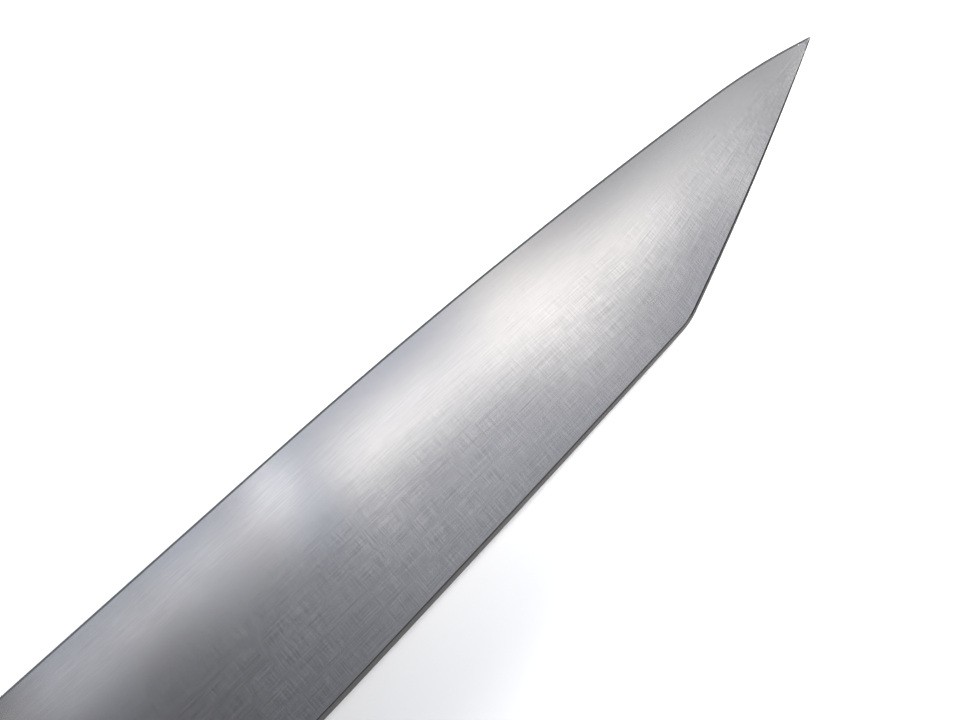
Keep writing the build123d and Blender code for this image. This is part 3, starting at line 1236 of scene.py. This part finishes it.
# soft cards in the surroundings, laid over each other in this order. A place is where the card stands as
# seen from the blade, as (along, towards the edge) per unit of height; soft is the blur of its sides
surroundings = {
    "air": (0.530, 0.543, 0.590),
    "seenByCamera": (0.97, 0.97, 0.97),
    "leastRise": 0.001,
    "horizonFade": 0.04,
    "cards": {
        "backShade": {
            "at": (0.0, -6.2), "size": (16.0, 5.9), "soft": (0.2, 0.03),
            "turn": 0, "tone": (0.34, 0.345, 0.36),
        },
        "edgeBand": {
            "at": (0.01, 0.49), "size": (0.15, 0.0095), "soft": (0.3, 0.8),
            "turn": -8, "tone": (0.10, 0.103, 0.112),
        },
        "tipDim": {
            "at": (0.18, 0.43), "size": (0.015, 0.022), "soft": (0.8, 0.8),
            "turn": 0, "tone": (0.18, 0.18, 0.20),
        },
        "lowDim": {
            "at": (0.0, 0.343), "size": (0.48, 0.0065), "soft": (0.2, 0.53),
            "turn": -6, "tone": (0.036, 0.036, 0.04),
        },
        "leftFlag": {
            "at": (-0.35, 0.435), "size": (0.26, 0.245), "soft": (0.35, 0.23),
            "turn": 1, "tone": (0.155, 0.158, 0.172),
        },
        "leftPale": {
            "at": (-0.11, 0.505), "size": (0.126, 0.043), "soft": (0.08, 0.23),
            "turn": -3.5, "tone": (0.54, 0.58, 0.69),
        },
        "glow": {
            "at": (0.026, 0.4485), "size": (0.29, 0.0075), "soft": (0.33, 0.65),
            "turn": -9.5, "tone": (1.7, 1.65, 1.6),
        },
        "band": {
            "at": (0.008, 0.4385), "size": (0.106, 0.0078), "soft": (0.4, 0.97),
            "turn": -11.5, "tone": (3.45, 3.3, 3.15),
        },
        "heart": {
            "at": (0.0385, 0.439), "size": (0.037, 0.0245), "soft": (0.53, 1.0),
            "turn": -40, "tone": (2.05, 1.98, 1.92),
        },
        "notch": {
            "at": (-0.0880, 0.4515), "size": (0.0100, 0.0135), "soft": (0.9, 0.9),
            "turn": -25, "tone": (0.49, 0.60, 0.82),
        },
        "blob": {
            "at": (-0.14, 0.4735), "size": (0.013, 0.0056), "soft": (1.0, 0.75),
            "turn": -14, "tone": (2.45, 2.48, 2.58),
        },
        "tipPale": {
            "at": (0.141, 0.395), "size": (0.0145, 0.0056), "soft": (0.2, 0.83),
            "turn": -35, "tone": (2.02, 1.9, 1.82),
        },
        "gleam": {
            "at": (-0.0990, 0.4835), "size": (0.0110, 0.0070), "soft": (0.9, 0.9),
            "turn": -14, "tone": (3.05, 3.05, 3.15),
        },
        "bandEnd": {
            "at": (-0.063, 0.4225), "size": (0.0072, 0.01), "soft": (0.29, 0.31),
            "turn": -20, "tone": (0.9, 0.9, 0.905),
        },
    },
}


def makeSoftCard():
    group, start, end = newGroup(
        "softCard",
        [
            ("Vector", "NodeSocketVector", None),
            ("Place", "NodeSocketVector", None),
            ("Size", "NodeSocketVector", None),
            ("Softness", "NodeSocketVector", None),
            ("Turn", "NodeSocketFloat", 0.0),
        ],
        [("Mask", "NodeSocketFloat")],
    )
    offset = addNode(group, "ShaderNodeVectorMath", operation="SUBTRACT")
    link(group, start.outputs["Vector"], offset.inputs[0])
    link(group, start.outputs["Place"], offset.inputs[1])
    turned = addNode(group, "ShaderNodeVectorRotate", rotation_type="Z_AXIS")
    link(group, offset.outputs[0], turned.inputs["Vector"])
    link(group, start.outputs["Turn"], turned.inputs["Angle"])
    scaled = addNode(group, "ShaderNodeVectorMath", operation="DIVIDE")
    link(group, turned.outputs[0], scaled.inputs[0])
    link(group, start.outputs["Size"], scaled.inputs[1])
    sides = addNode(group, "ShaderNodeSeparateXYZ")
    link(group, scaled.outputs[0], sides.inputs[0])
    softness = addNode(group, "ShaderNodeSeparateXYZ")
    link(group, start.outputs["Softness"], softness.inputs[0])
    masks = []
    for n in range(2):
        ramp = addNode(group, "ShaderNodeMapRange", interpolation_type="SMOOTHSTEP")
        link(group, mathNode(group, "ABSOLUTE", sides.outputs[n]), ramp.inputs["Value"])
        link(group, mathNode(group, "SUBTRACT", 1.0, softness.outputs[n]), ramp.inputs["From Min"])
        link(group, mathNode(group, "ADD", 1.0, softness.outputs[n]), ramp.inputs["From Max"])
        ramp.inputs["To Min"].default_value = 1.0
        ramp.inputs["To Max"].default_value = 0.0
        masks.append(ramp.outputs["Result"])
    link(group, mathNode(group, "MULTIPLY", *masks), end.inputs["Mask"])
    return group


def makeSurroundings():
    softCard = makeSoftCard()
    world = bpy.data.worlds.new("studioWorld")
    bpy.context.scene.world = world
    world.use_nodes = True
    tree = world.node_tree
    direction = addNode(tree, "ShaderNodeTexCoord").outputs["Generated"]
    bladeWise = addNode(tree, "ShaderNodeVectorRotate", rotation_type="Z_AXIS")
    bladeWise.inputs["Angle"].default_value = turn
    link(tree, direction, bladeWise.inputs["Vector"])
    parts = addNode(tree, "ShaderNodeSeparateXYZ")
    link(tree, bladeWise.outputs[0], parts.inputs[0])
    rise = mathNode(tree, "MAXIMUM", parts.outputs[2], surroundings["leastRise"])
    flat = addNode(tree, "ShaderNodeCombineXYZ")
    for n in range(2):
        link(tree, mathNode(tree, "DIVIDE", parts.outputs[n], rise), flat.inputs[n])
    above = mapRange(tree, parts.outputs[2], 0.0, surroundings["horizonFade"], 0.0, 1.0)
    color = surroundings["air"]
    for card in surroundings["cards"].values():
        node = addNode(tree, "ShaderNodeGroup", node_tree=softCard)
        link(tree, flat.outputs[0], node.inputs["Vector"])
        node.inputs["Place"].default_value = (*card["at"], 0)
        node.inputs["Size"].default_value = (*card["size"], 1)
        node.inputs["Softness"].default_value = (*card["soft"], 0)
        node.inputs["Turn"].default_value = math.radians(-card["turn"])
        mask = mathNode(tree, "MULTIPLY", node.outputs["Mask"], above)
        color = mixColor(tree, mask, color, card["tone"])
    seen = addNode(tree, "ShaderNodeLightPath").outputs["Is Camera Ray"]
    color = mixColor(tree, seen, color, surroundings["seenByCamera"])
    link(tree, color, tree.nodes["Background"].inputs["Color"])


makeFloor()
makeCamera()
makeLamps()
makeWash()
makeSurroundings()
bpy.context.scene.view_settings.view_transform = "Standard"
print("stage ready")
